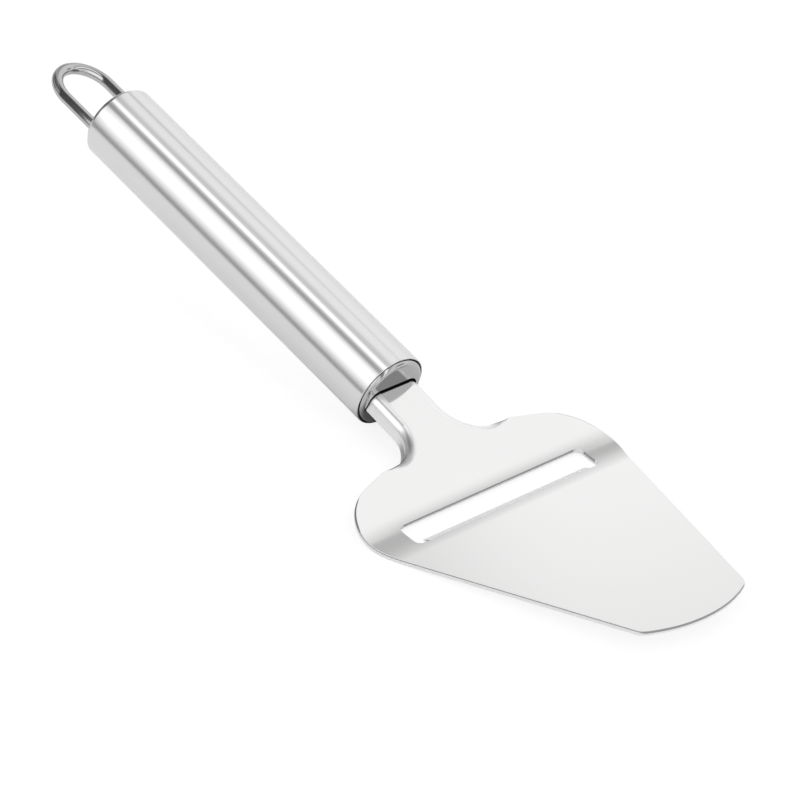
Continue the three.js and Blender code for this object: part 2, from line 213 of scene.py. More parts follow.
def steel(name, dark, light, smooth, rough, lines, clouds, grain_depth, metallic=1):
    finish = bpy.data.materials.new(name)
    finish.use_nodes = True
    tree = finish.node_tree
    line = out(tree, "Group", {"Lines per metre": lines[0], "Stretch": lines[1]},
               node_tree=fine_lines)
    cloud = out(tree, "Group", {"Clouds per metre": clouds[0], "Contrast": clouds[1]},
                node_tree=polishing_clouds)
    both = math_node(tree, "MULTIPLY_ADD", line, LINES_SHARE, times(tree, cloud, 1 - LINES_SHARE))
    colour = add(tree, "Mix", {"Factor": both, 6: (*dark, 1), 7: (*light, 1)}, data_type="RGBA")
    worn = out(tree, "MapRange", {"Value": both, "From Min": WORN[0], "From Max": WORN[1],
                                  "To Min": smooth, "To Max": rough})
    bump = out(tree, "Bump", {"Strength": GRAIN_STRENGTH, "Distance": grain_depth * MM,
                              "Height": line})
    shader = tree.nodes["Principled BSDF"].inputs
    shader["Metallic"].default_value = metallic
    tree.links.new(colour.outputs[2], shader["Base Color"])
    tree.links.new(worn, shader["Roughness"])
    tree.links.new(bump, shader["Normal"])
    return finish


satin = steel("satin_blade", grey(0.85, WARM), grey(0.90, WARM), 0.08, 0.13, *BLADE_GRAIN)
pressed = steel("pressed_flange", grey(0.89, WARM), grey(0.94, WARM), 0.27, 0.33, *BLADE_GRAIN)
drawn = steel("drawn_tube", grey(0.74), grey(0.81), 0.14, 0.20, (6000, 80), (70, 0.8), 0.003)
mirror = steel("mirror_cup", grey(0.50), grey(0.56), 0.04, 0.10, (4000, 8), (120, 0.8), 0.001)
bright = steel("bright_wire", grey(0.48), grey(0.56), 0.08, 0.15, (3000, 20), (150, 1.0), 0.002)
# A darker, rougher band of painted shade along the near fold.
fold_shade_finish = steel("painted_fold_shade", grey(0.62), grey(0.70), 0.36, 0.44, *BLADE_GRAIN)
# Dark edge bands: sheared steel made darker, partly painted shade.
torn_and_shade = steel("torn_edge_and_painted_shade", grey(0.30), grey(0.40), 0.30, 0.45, (3000, 2), (300, 1.2), 0.004)
ground = steel("ground_lip", grey(0.94, WARM), grey(0.97, WARM), 0.50, 0.60,
               (5000, 6), (120, 1.0), 0.002, metallic=0.2)
welded = steel("weld_bead", (0.20, 0.17, 0.14), (0.42, 0.38, 0.33), 0.40, 0.65,
               (1500, 1), (500, 1.6), 0.06)
mill_skin_and_shade = steel("mill_skin_and_shade", grey(0.020), grey(0.045), 0.45, 0.65, (2000, 6), (200, 1.4), 0.02)
finishes = (satin, pressed, fold_shade_finish, torn_and_shade, ground, drawn, mirror, bright, welded, mill_skin_and_shade)
print("finishes:", [finish.name for finish in finishes])

# %% [markdown]
# ## Keeping a finished piece
# A piece ends as one plain mesh whose object sits at the origin. Geometry Nodes and modifiers
# are only the way there: the evaluated result is copied into a new mesh and the helper objects
# are removed. The signed volume tells whether the faces look outwards: it is positive then.

# %% Keep, measure and register
SHARP = radians(30)


def link(name, mesh):
    piece = bpy.data.objects.new(name, mesh)
    scene.collection.objects.link(piece)
    return piece


def mesh_of(name, points, edges, faces):
    mesh = bpy.data.meshes.new(name)
    mesh.from_pydata(points, edges, faces)
    return mesh


def path_of(name, points):
    """A chain of points as an object."""
    return link(name, mesh_of(name, points, [(i, i + 1) for i in range(len(points) - 1)], []))


def settled(piece):
    """The piece with its modifiers made real, as a plain mesh."""
    view = bpy.context.evaluated_depsgraph_get()
    mesh = bpy.data.meshes.new_from_object(piece.evaluated_get(view))
    piece.modifiers.clear()
    piece.data = mesh
    return piece


def stand_for(piece, node):
    shape = bmesh.new()
    shape.from_mesh(piece.data)
    volume = shape.calc_volume(signed=True) / MM ** 3
    open_edges = sum(not edge.is_manifold for edge in shape.edges)
    shape.free()
    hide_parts(node)
    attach(piece, "root")
    print(f"{piece.name}: {len(piece.data.polygons)} faces, {volume:.0f} cubic mm, "
          f"{open_edges} open edges")


# %% [markdown]
# ## Turned shells: one tree for tube and cups
# The tube and both cups are round about one axis, so one rule makes all three: a profile of
# (radius, along) points is carried round in a full turn. The tree makes a grid with one column
# for each profile point, looks that point up by its index and turns it by the row's angle. The
# seam and the poles are then merged. Extra points close to each round keep the long straight
# stretches free of a bent look, because normals are averaged only over the short step.

# %% Geometry Nodes: turn a profile
CLOSE = 1e-4


def close_tree(tree, shape, given, made):
    """The last steps of every shape tree: smooth, made real and given its finish."""
    smooth = out(tree, "GeometryNodeSetShadeSmooth", {"Geometry": shape})
    whole = out(tree, "GeometryNodeRealizeInstances", {"Geometry": smooth})
    done = out(tree, "GeometryNodeSetMaterial", {"Geometry": whole,
                                                 "Material": given["Finish"]})
    tree.links.new(done, made[0])
    return tree


def turning_tree():
    inputs = {"Profile": "Geometry", "Points": "Int", "Steps": "Int", "Finish": "Material"}
    tree, given, made = new_group("turn_profile", "GeometryNodeTree", inputs,
                                  {"Shell": "Geometry"})
    rows = math_node(tree, "ADD", given["Steps"], 1)
    grid = add(tree, "GeometryNodeMeshGrid", {"Vertices X": given["Points"],
                                              "Vertices Y": rows}).outputs["Mesh"]
    index = out(tree, "GeometryNodeInputIndex")
    column = math_node(tree, "FLOOR", math_node(tree, "DIVIDE", index, rows))
    row = math_node(tree, "SUBTRACT", index, times(tree, column, rows))
    place = out(tree, "GeometryNodeInputPosition")
    found = out(tree, "GeometryNodeSampleIndex", {
        "Geometry": given["Profile"], "Value": place, "Index": column},
        data_type="FLOAT_VECTOR", domain="POINT")
    point = add(tree, "SeparateXYZ", {0: found})
    turn = times(tree, math_node(tree, "DIVIDE", row, given["Steps"]), -2 * pi)
    across = times(tree, point.outputs[0], math_node(tree, "COSINE", turn))
    up = times(tree, point.outputs[0], math_node(tree, "SINE", turn))
    where = out(tree, "CombineXYZ", {0: across, 1: point.outputs[1], 2: up})
    turned = out(tree, "GeometryNodeSetPosition", {"Geometry": grid, "Position": where})
    closed = out(tree, "GeometryNodeMergeByDistance", {"Geometry": turned, "Distance": CLOSE})
    return close_tree(tree, closed, given, made)


turn_profile = turning_tree()


def run_tree(piece, tree, **values):
    modifier = piece.modifiers.new(tree.name, "NODES")
    modifier.node_group = tree
    for socket in tree.interface.items_tree:
        if socket.in_out == "INPUT" and socket.name in values:
            modifier[socket.identifier] = values[socket.name]
    return settled(piece)


print("tree:", turn_profile.name, len(turn_profile.nodes), "nodes")

# %% Profiles with round corners
TURN_STEPS = 128
SUPPORT = 0.06
SHELL_SHARP = radians(50)
HAIR = 0.01
ROUND_STEPS = 5
QUARTER = pi / 2


def arc(centre, radius, start, end, steps):
    """Points on an arc, from one angle in degrees to another."""
    turns = [radians(start + (end - start) * i / steps) for i in range(steps + 1)]
    return [(centre[0] + radius * cos(a), centre[1] + radius * sin(a)) for a in turns]


def supported(profile, shortest):
    """Adds a close point at both ends of each long straight, so that it keeps its own shine."""
    points = []
    for before, after in zip(profile, profile[1:]):
        points.append(before)
        step = Vector(after) - Vector(before)
        if step.length > shortest:
            near = step.normalized() * SUPPORT
            points += [tuple(Vector(before) + near), tuple(Vector(after) - near)]
    return points + [profile[-1]]


def turned_shell(name, profile, finish, within):
    """A turned shell whose faces within the given (radius, along) keep the dark mill skin, which on
    the tube's sawn ends is also painted shade.
    """
    path = path_of(name, [(radius, along, 0) for radius, along in profile])
    shell = run_tree(path, turn_profile, Points=len(profile), Steps=TURN_STEPS, Finish=finish)
    shell.data.set_sharp_from_angle(angle=SHELL_SHARP)
    shell.data.materials.clear()
    for given in (finish, mill_skin_and_shade):
        shell.data.materials.append(given)
    radius, along = within
    spots = shell.data.vertices
    for face in shell.data.polygons:
        corners = [spots[i].co for i in face.vertices]
        dark_finish = all(hypot(c.x, c.z) < radius and c.y < along for c in corners)
        face.material_index = int(dark_finish)
    return shell


# %% [markdown]
# ## The handle tube
# A plain drawn tube, 20 mm across, cut to length and eased at both ends so that it does not
# scratch the hand. Seen from inside it has a bore, so the profile is a closed ring: along the
# outside, over the front edge, back through the bore.

# %% Handle tube
TUBE_RADIUS = 10
TUBE_WALL = 0.5
TUBE_LENGTH = 107
EDGE_ROUND = 0.25
LONG_TUBE = 1
bore = TUBE_RADIUS - TUBE_WALL
round_at = TUBE_RADIUS - EDGE_ROUND

tube_profile = [(bore, 0)]
tube_profile += arc((round_at, -EDGE_ROUND), EDGE_ROUND, 90, 0, ROUND_STEPS)
tube_profile += arc((round_at, EDGE_ROUND - TUBE_LENGTH), EDGE_ROUND, 0, -90, ROUND_STEPS)
tube_profile += [(bore, -TUBE_LENGTH), (bore, 0)]
# The bore and the sawn ends take the dark mill skin; on the ends it is painted shade, the dark seam
# ring.
tube = turned_shell("tube_handle", supported(tube_profile, LONG_TUBE), drawn,
                    (round_at + HAIR, HAIR))
tube.data.transform(on_table)
stand_for(tube, "handle_tube")

# %% [markdown]
# ## The end cups
# Each end of the tube is closed by a drawn cup that is pushed in, its flat face a little proud
# and its edge rolled over a small round. The front cup has a slit in the section of the neck. The
# rear cup has two holes for the wire. Cuts like these are easiest as a Boolean with a plain
# cutter, because the cup underneath stays a clean turned shell.

# %% Cup profile
CUP_SHEET = 0.7
CUP_DEPTH = 6
CUP_SHOULDER = 1.3
CUP_FIT = 0.1
FRONT_PROUD = 0.95
REAR_PROUD = 1.4
LONG_CUP = 0.5
skirt = bore - CUP_FIT
skirt_inside = skirt - CUP_SHEET
flat_radius = skirt - CUP_SHOULDER

cup_profile = [(0, 0)]
cup_profile += arc((flat_radius, -CUP_SHOULDER), CUP_SHOULDER, 90, 0, 2 * ROUND_STEPS)
cup_profile += [(skirt, -CUP_DEPTH), (skirt_inside, -CUP_DEPTH)]
cup_profile += arc((flat_radius, -CUP_SHOULDER), CUP_SHOULDER - CUP_SHEET, 0, 90,
                   ROUND_STEPS)
cup_profile += [(0, -CUP_SHEET)]
cup_inside = (skirt_inside + HAIR, HAIR - CUP_SHEET)


def cutter_of(name, shape, place):
    mesh = bpy.data.meshes.new(name)
    shape.to_mesh(mesh)
    shape.free()
    mesh.transform(place)
    return link(name, mesh)


def cut(piece, cutters):
    for cutter in cutters:
        tool = piece.modifiers.new("cut", "BOOLEAN")
        tool.operation, tool.solver, tool.object = "DIFFERENCE", "EXACT", cutter
        # The cut walls take the near-black mill skin: painted shade inside the slit and the holes.
        tool.material_mode = "TRANSFER"
        cutter.data.materials.append(mill_skin_and_shade)
    settled(piece)
    for cutter in cutters:
        bpy.data.objects.remove(cutter)
    piece.data.set_sharp_from_angle(angle=SHARP)
    return piece


# %% Neck section, shared by the slit and the blade
SHEET = 1.2
NECK_HALF = 4.6
FLANGE_DROP = 4.25
FLANGE_FOLD = radians(74)
INSIDE_BEND = 1.55
SLIT_CLEARANCE = 0.25
SLIT_ABOVE = 0.72
SLIT_STEPS = 8
CUT_DEPTH = 4
outside_bend = INSIDE_BEND + SHEET


def straight_for(fold):
    return (FLANGE_DROP - outside_bend * (1 - cos(fold))) / sin(fold)


def folded_section(radius, fold, straight, steps):
    """Outline of one flange in (outward, up), from the edge of the flat: bend, then straight."""
    turns = [fold * i / steps for i in range(steps + 1)]
    row = [(radius * sin(turn), radius * cos(turn) - outside_bend) for turn in turns]
    far, up = row[-1]
    return row + [(far + straight * cos(fold), up - straight * sin(fold))]


def slit_cutter():
    raised = SLIT_ABOVE - SLIT_CLEARANCE
    straight = straight_for(FLANGE_FOLD) + SLIT_CLEARANCE
    over = folded_section(outside_bend + SLIT_CLEARANCE, FLANGE_FOLD, straight + raised,
                          SLIT_STEPS)
    under = folded_section(INSIDE_BEND - SLIT_CLEARANCE, FLANGE_FOLD, straight, SLIT_STEPS)
    half = [(NECK_HALF + x, z + raised) for x, z in over]
    half += [(NECK_HALF + x, z) for x, z in reversed(under)]
    ring = half + [(-x, z) for x, z in reversed(half)]
    shape = bmesh.new()
    near = shape.faces.new([shape.verts.new((x, -CUT_DEPTH / 2, z)) for x, z in ring])
    grown = bmesh.ops.extrude_face_region(shape, geom=[near])["geom"]
    moved = [v for v in grown if isinstance(v, bmesh.types.BMVert)]
    bmesh.ops.translate(shape, vec=(0, CUT_DEPTH, 0), verts=moved)
    bmesh.ops.recalc_face_normals(shape, faces=shape.faces)
    return cutter_of("slit", shape, at_neck)


# %% Front cup with its slit
front_cup = turned_shell("cup_front", supported(cup_profile, LONG_CUP), mirror, cup_inside)
front_cup.data.transform(on_table @ Matrix.Translation((0, FRONT_PROUD, 0)))
cut(front_cup, [slit_cutter()])
stand_for(front_cup, "front_cap")

# %% Rear cup with two holes
WIRE_RADIUS = 1.5
LEG_CLEARANCE = 0.45
HOLE_CLEARANCE = 0.1
HOLE_SIDES = 48
leg_offset = skirt_inside - LEG_CLEARANCE - WIRE_RADIUS
at_rear = (on_table @ Matrix.Translation((0, -TUBE_LENGTH - REAR_PROUD, 0))
           @ Matrix.Rotation(pi, 4, "X"))


def drill(across):
    shape = bmesh.new()
    radius = WIRE_RADIUS + HOLE_CLEARANCE
    bmesh.ops.create_cone(shape, cap_ends=True, segments=HOLE_SIDES, radius1=radius,
                          radius2=radius, depth=CUT_DEPTH)
    place = Matrix.Translation((across, 0, 0)) @ Matrix.Rotation(QUARTER, 4, "X")
    return cutter_of("drill", shape, at_rear @ place)


rear_cup = turned_shell("cup_rear", supported(cup_profile, LONG_CUP), mirror, cup_inside)
rear_cup.data.transform(at_rear)
cut(rear_cup, [drill(leg_offset), drill(-leg_offset)])
stand_for(rear_cup, "rear_cap")

# %% [markdown]
# ## The hanging loop
# A length of 3 mm wire, bent to a U and pushed through the rear cup. A wire is a circle carried
# along a path, which is what Curve to Mesh does. The path has two straight legs and a bow that
# is half of an ellipse, a little longer than wide.

# %% Geometry Nodes: wire along a path
def wire_tree():
    inputs = {"Path": "Geometry", "Wire radius": "Float", "Sides": "Int", "Finish": "Material"}
    tree, given, made = new_group("wire_along_path", "GeometryNodeTree", inputs,
                                  {"Wire": "Geometry"})
    path = out(tree, "GeometryNodeMeshToCurve", {"Mesh": given["Path"]})
    circle = out(tree, "GeometryNodeCurvePrimitiveCircle", {
        "Resolution": given["Sides"], "Radius": given["Wire radius"]})
    swept = out(tree, "GeometryNodeCurveToMesh", {"Curve": path, "Profile Curve": circle,
                                                  "Fill Caps": True})
    return close_tree(tree, swept, given, made)


# %% Hanging loop
LOOP_STRAIGHT = 11.7
LOOP_BOW = 9.1
LOOP_INSIDE = 3
BOW_STEPS = 48
WIRE_SIDES = 32
foot = -CUP_SHEET - LOOP_INSIDE

loop_path = [(leg_offset, foot, 0), (leg_offset, -CUP_SHEET, 0)]
for i in range(BOW_STEPS + 1):
    turn = pi * i / BOW_STEPS
    loop_path.append((leg_offset * cos(turn), LOOP_STRAIGHT + LOOP_BOW * sin(turn), 0))
loop_path += [(-leg_offset, -CUP_SHEET, 0), (-leg_offset, foot, 0)]
loop = run_tree(path_of("loop_wire", loop_path), wire_tree(),
                **{"Wire radius": WIRE_RADIUS, "Sides": WIRE_SIDES, "Finish": bright})
loop.data.set_sharp_from_angle(angle=SHARP)
loop.data.transform(at_rear)
stand_for(loop, "hanging_loop")
run = [(Vector(b) - Vector(a)).length for a, b in zip(loop_path, loop_path[1:])]
print(f"wire length {sum(run):.1f} mm")

# %% [markdown]
# ## The blade, flat
# The blade starts as a flat blank stamped from 1.2 mm sheet: a tang, a straight neck, a round
# inner corner on each side that ends in a point, a shoulder, a long taper and a rounded tip.
# The outline is drawn in lines and arcs on the flat sheet, because that is where its sizes are
# simple. Along the neck and the corner a flange is folded down. Its fold steepens in the corner
# and then opens out, so each station along it has its own fold angle and width.

# %% Stations of the flange
NECK_LENGTH = 10.3
FLANGE_EDGE = 2.08
FLANGE_TAIL = 1.2
# The dark mill skin reaches a little past the cup's face: painted shade on the neck there.
SKIN_AND_SHADE_ENDS = 1.15
CORNER_RADIUS = 11.2
CORNER_FOLD = radians(84)
STEEPEN_ANGLE = radians(150)
CUSP_ANGLE = radians(78.5)
FADE_ANGLE = radians(125)
CORNER_STEPS = 60
FADE_POWER = 8
NECK_STATIONS = (-FLANGE_TAIL, SKIN_AND_SHADE_ENDS, 1.5, 4.5, 7.5)


def towards(angle):
    return Vector((cos(angle), sin(angle)))


def eased(value, low, high):
    share = min(max((value - low) / (high - low), 0), 1)
    return share * share * (3 - 2 * share)


def flange_stations():
    """(start on the blank, outward, fold, straight) from inside the tube to the point."""
    whole = straight_for(FLANGE_FOLD)
    rows = [(Vector((NECK_HALF, along)), Vector((1, 0)), FLANGE_FOLD, whole)
            for along in NECK_STATIONS]
    corner = Vector((NECK_HALF + FLANGE_EDGE + CORNER_RADIUS, NECK_LENGTH))
    for i in range(CORNER_STEPS + 1):
        angle = pi + (CUSP_ANGLE - pi) * i / CORNER_STEPS
        steeper = 1 - eased(angle, STEEPEN_ANGLE, pi)
        full = FLANGE_FOLD + (CORNER_FOLD - FLANGE_FOLD) * steeper
        left = eased(angle, CUSP_ANGLE, FADE_ANGLE)
        edge = FLANGE_EDGE * sin(full * left) / sin(full)
        way = towards(angle)
        rows.append((corner + way * (CORNER_RADIUS + edge), -way, full * left,
                     straight_for(full) * left ** FADE_POWER))
    return rows


stations = flange_stations()
print("flange stations:", len(stations), "point of the corner at",
      [round(v, 2) for v in stations[-1][0]])

# %% Outline of the blank
TANG_LENGTH = 22
BLADE_HALF = 38.8
SHOULDER_RADIUS = 15
WIDEST_AT = 38
TAPER = radians(19.3)
TIP_AT = 107.8
TIP_RADIUS = 34
TIP_CORNER = 3
POINT_STEP = 0.8
SHOULDER_STEPS, CORNER_POINTS, TIP_STEPS = 48, 10, 40


def round_trip(centre, radius, start, sweep, steps):
    """Points on an arc of the blank, through a sweep in radians."""
    return [centre + radius * towards(start + sweep * i / steps) for i in range(steps + 1)]


def right_half():
    cusp = stations[-1][0]
    shoulder = Vector((BLADE_HALF - SHOULDER_RADIUS, WIDEST_AT))
    to_cusp = cusp - shoulder
    start = atan2(to_cusp.y, to_cusp.x) + acos(SHOULDER_RADIUS / to_cusp.length)
    side = Vector((-sin(TAPER), cos(TAPER)))
    inward = -towards(TAPER)
    tip = Vector((0, TIP_AT - TIP_RADIUS))
    track = shoulder + inward * (TIP_CORNER - SHOULDER_RADIUS)
    from_tip = track - tip
    lead = from_tip.dot(side)
    reach = (TIP_RADIUS - TIP_CORNER) ** 2
    small = track + side * (sqrt(lead ** 2 - from_tip.length_squared + reach) - lead)
    meets = atan2(small.y - tip.y, small.x - tip.x)
    points = [Vector((NECK_HALF, -TANG_LENGTH))] + [row[0] for row in stations]
    arrives = shoulder + SHOULDER_RADIUS * towards(start)
    points.append(cusp + (arrives - cusp).normalized() * POINT_STEP)
    points += round_trip(shoulder, SHOULDER_RADIUS, start, (TAPER - start) % (2 * pi),
                         SHOULDER_STEPS)
    points += round_trip(small, TIP_CORNER, TAPER, meets - TAPER, CORNER_POINTS)
    return points + round_trip(tip, TIP_RADIUS, meets, QUARTER - meets, TIP_STEPS)[1:]


def both_halves(half):
    other = [Vector((-p.x, p.y)) for p in reversed(half) if p.x > CLOSE]
    return half + other


outline = both_halves(right_half())
print("blank:", round(2 * max(p.x for p in outline), 1), "by",
      round(max(p.y for p in outline) - min(p.y for p in outline), 1), "mm")

# %% [markdown]
# ## The slot and its ground lip
# The slot lets the slice of cheese rise through the blade. Its back edge is plain. Its front edge
# is ground to a long bevel: on the underside a lip stands back into the slot, and on the top the
# sheet ends where the grinding starts. So the slot has one outline below and another above, and
# each point of the lower one knows the upper point that the wall climbs to.

# %% Slot outlines
SLOT_HALF = 29.2
SLOT_BACK = 36.75
SLOT_FRONT = 44.25
SLOT_CORNER = 1.8
LIP_HALF = 25.9
LIP_REACH = 2.05
LIP_LAND = 0.12
lip_front = SLOT_FRONT - LIP_REACH


def slot_below():
    corner_x = SLOT_HALF - SLOT_CORNER
    half = [Vector((0, SLOT_BACK))]
    for along, start in ((SLOT_BACK + SLOT_CORNER, -QUARTER), (SLOT_FRONT - SLOT_CORNER, 0)):
        half += round_trip(Vector((corner_x, along)), SLOT_CORNER, start, QUARTER, CORNER_POINTS)
    half += [Vector((LIP_HALF, SLOT_FRONT)), Vector((LIP_HALF, lip_front)), Vector((0, lip_front))]
    return both_halves(half)


def above_of(point):
    on_lip = abs(point.x) < LIP_HALF + CLOSE and point.y > lip_front - CLOSE
    return Vector((point.x, SLOT_FRONT)) if on_lip else point


# %% [markdown]
# ## Bending and triangles
# A press bends the blank along a line across the slot, so the front of the blade rises by about
# 20 degrees. Bending is a rule: a point keeps its place across and walks along a flat, then an
# arc, then a flat again. The sheet needs edges along the bend for this to look round, so the
# outlines get a point at each of the bend's levels. More points are strewn evenly over the sheet,
# because long thin triangles catch the light badly, and a constrained Delaunay triangulation
# fills the sheet between them all.

# %% The press bend
CREASE_AT = 40.05
CREASE_ANGLE = radians(20.6)
CREASE_RADIUS = 40
CREASE_STEPS = 28
bend_start = CREASE_AT - CREASE_RADIUS * tan(CREASE_ANGLE / 2)
bend_length = CREASE_RADIUS * CREASE_ANGLE
levels = [bend_start + bend_length * i / CREASE_STEPS for i in range(CREASE_STEPS + 1)]


def bend_turn(along):
    return min(max((along - bend_start) / CREASE_RADIUS, 0), CREASE_ANGLE)


def bent(point, above):
    turn = bend_turn(point.y)
    past = max(point.y - bend_start - bend_length, 0)
    reach = CREASE_RADIUS - above
    return Vector((point.x,
                   min(point.y, bend_start) + reach * sin(turn) + past * cos(turn),
                   CREASE_RADIUS - reach * cos(turn) + past * sin(turn)))


def turned_by_bend(flat, up, along):
    """A direction on the blank, and its part upwards, after the bend."""
    turn = bend_turn(along)
    return Vector((flat.x, flat.y * cos(turn) - up * sin(turn),
                   flat.y * sin(turn) + up * cos(turn)))


def sides_of(loop):
    return zip(loop, loop[1:] + loop[:1])


def with_levels(loop):
    points = []
    for a, b in sides_of(loop):
        points.append(a)
        low, high = sorted((a.y, b.y))
        crossed = [y for y in levels if low + CLOSE < y < high - CLOSE]
        points += [a.lerp(b, (y - a.y) / (b.y - a.y))
                   for y in sorted(crossed, reverse=a.y > b.y)]
    return points


def inside(point, loop):
    x, y = point
    hit = False
    for a, b in sides_of(loop):
        if (a.y > y) != (b.y > y):
            hit ^= x < a.x + (b.x - a.x) * (y - a.y) / (b.y - a.y)
    return hit


def on_sheet(point, outer, hole):
    return inside(point, outer) and not inside(point, hole)


print("bend from", round(bend_start, 2), "over", round(bend_length, 2), "mm")

# %% Triangles of the sheet
STREWN = 4
STREWN_CLEAR = 0.3 * STREWN
STREWN_COLUMNS = 9
BEND_CLEAR = 1
MERGE = 1e-7


def strewn(outer, hole):
    """Even points on the sheet, in rows and along the levels of the bend, clear of its edges."""
    ends = [-TANG_LENGTH + STREWN * i for i in range(1, int((TIP_AT + TANG_LENGTH) / STREWN) + 1)]
    rows = [y for y in ends if abs(y - bend_start - bend_length / 2) > bend_length / 2 + BEND_CLEAR]
    steps = [STREWN * i for i in range(-STREWN_COLUMNS, STREWN_COLUMNS + 1)]
    around = [STREWN_CLEAR * towards(a) for a in range(6)]
    found = []
    for point in (Vector((x, y)) for y in rows + levels for x in steps):
        if all(on_sheet(point + step, outer, hole) for step in around):
            found.append(point)
    return found


def sheet_triangles(outer, hole, inner):
    """Triangles between an outline and a hole, with edges along every level of the bend."""
    spots = outer + hole + inner
    lines = [(i, (i + 1) % len(outer)) for i in range(len(outer))]
    lines += [(len(outer) + i, len(outer) + (i + 1) % len(hole)) for i in range(len(hole))]
    for y in levels + [SKIN_AND_SHADE_ENDS]:
        row = [i for x, i in sorted((p.x, i) for i, p in enumerate(spots) if abs(p.y - y) < CLOSE)]
        for a, b in zip(row, row[1:]):
            middle = (spots[a] + spots[b]) / 2
            if on_sheet(middle, outer, hole):
                lines.append((a, b))
    _, _, faces, given, _, _ = delaunay_2d_cdt(spots, lines, [], 0, MERGE)
    triangles = []
    for face in faces:
        a, b, c = (given[k][0] for k in face)
        (ax, ay), (bx, by), (cx, cy) = (spots[k] for k in (a, b, c))
        middle = ((ax + bx + cx) / 3, (ay + by + cy) / 3)
        if on_sheet(middle, outer, hole):
            area = (bx - ax) * (cy - ay) - (by - ay) * (cx - ax)
            triangles.append((a, b, c) if area > 0 else (a, c, b))
    return triangles


rim = with_levels(outline)
slot_under = list(reversed(with_levels(slot_below())))
slot_over = []
climbs = []
for point in slot_under:
    top = above_of(point)
    if not slot_over or (top - slot_over[-1]).length > CLOSE:
        slot_over.append(top)
    climbs.append(len(slot_over) - 1)
over_inner = strewn(rim, slot_over)
under_inner = strewn(rim, slot_under)
upper_triangles = sheet_triangles(rim, slot_over, over_inner)
lower_triangles = sheet_triangles(rim, slot_under, under_inner)
print("triangles above and below:", len(upper_triangles), len(lower_triangles))

# %% [markdown]
# ## The blade, folded
# Now the sheet gets its thickness. Both skins, the folded flanges and the edges between them are
# put into one closed mesh. The edges are eased by a tiny round, which grows at the shoulders,
# where the press rolls the sheet over; where it is largest, the round itself is painted shade.
# Below the round the edge has two bands: a dull one, where the sheet tore, and a bright one,
# where it was sheared. The dull band is partly painted shade, and it is deepest at the tip. Every
# corner of every face also gets its true direction, worked out from the rule, so the flat plates
# shine flat right up to their edges.

# %% A mesh that knows its own shine
EDGE_EASE = 0.08
# Sizes of the dark edge bands, which are partly sheared steel and partly painted shade.
TORN_SHADE_SIDE = 0.28
TORN_SHADE_TIP = 0.62
TORN_SHADE_LINE = 0.36
TORN_SHADE_FOLD = radians(64)
TORN_SHADE_SLOT = 0.62
# Where the band of painted shade lies across the near fold.
FOLD_SHADE_TURN = (radians(22), radians(37))
FOLD_SHADE_ENDS = -0.1
SHOULDER_ROLL = 0.30
ROLL_GROWS, ROLL_FADES = (0.20, 0.45), (0.78, 0.90)
TIP_FACING = (0.45, 0.95)
EASE_STEPS = 3
NO_EASE = 1e-3
NO_LENGTH = 1e-6
EASE_SHARE = 0.4
FOLD_ROWS = 20
PLATE, FLANGE, FOLD_SHADE, TORN_AND_SHADE, GROUND, SKIN_AND_SHADE = range(6)


class Sheet:
    def __init__(self):
        self.spots, self.faces, self.shine, self.kinds = [], [], [], []
        self.kind = PLATE

    def spot(self, place):
        self.spots.append(place)
        return len(self.spots) - 1

    def face(self, corners, normals=None):
        kept = [k for k in range(len(corners)) if corners[k] != corners[k - 1]]
        if len(kept) < 3 or len({corners[k] for k in kept}) < len(kept):
            return
        ids = [corners[k] for k in kept]
        if normals is None:
            a, b, c = (self.spots[ids[k]] for k in (0, 1, 2))
            flat = (b - a).cross(c - b)
            if len(ids) > 3:
                flat = (self.spots[ids[2]] - a).cross(self.spots[ids[3]] - b)
            normals = [flat.normalized()] * len(corners)
        self.faces.append(ids)
        self.kinds.append(self.kind)
        self.shine += [normals[k] for k in kept]


sheet = Sheet()
UP = Vector((0, 0, 1))

# %% Both skins of the plate
cusp_number = len(stations)
free = range(cusp_number + 1, len(rim) - cusp_number)
edge_outward, edge_ease = {}, {}
for i in free:
    before = (rim[i] - rim[i - 1]).normalized()
    after = (rim[i + 1] - rim[i]).normalized()
    mean = (before + after).normalized()
    edge_outward[i] = Vector((mean.y, -mean.x)) / mean.dot(before)
    rolled = eased(mean.x, *ROLL_GROWS) * (1 - eased(mean.x, *ROLL_FADES))
    edge_ease[i] = EDGE_EASE + (SHOULDER_ROLL - EDGE_EASE) * rolled
eased_rim = [rim[i] - edge_ease[i] * edge_outward[i] if i in edge_outward else rim[i]
             for i in range(len(rim))]


def skin(points, triangles, above):
    ids = [sheet.spot(bent(p, above)) for p in points]
    way = 1 if above == 0 else -1
    for corners in triangles:
        order = corners if way > 0 else corners[::-1]
        normals = [way * turned_by_bend(Vector((0, 0)), 1, points[i].y) for i in order]
        sheet.face([ids[i] for i in order], normals)
    return ids


top_ids = skin(eased_rim + slot_over + over_inner, upper_triangles, 0)
under_ids = skin(eased_rim + slot_under + under_inner, lower_triangles, -SHEET)
print("skins:", len(sheet.spots), "points")

# %% Folded flanges
def section_place(fold, walked):
    """(outward, up, turn) on the flange after walking that far over its outer skin."""
    turn = min(walked / outside_bend, fold)
    rest = max(walked - outside_bend * fold, 0)
    return (outside_bend * sin(turn) + rest * cos(turn),
            outside_bend * cos(turn) - outside_bend - rest * sin(turn), turn)


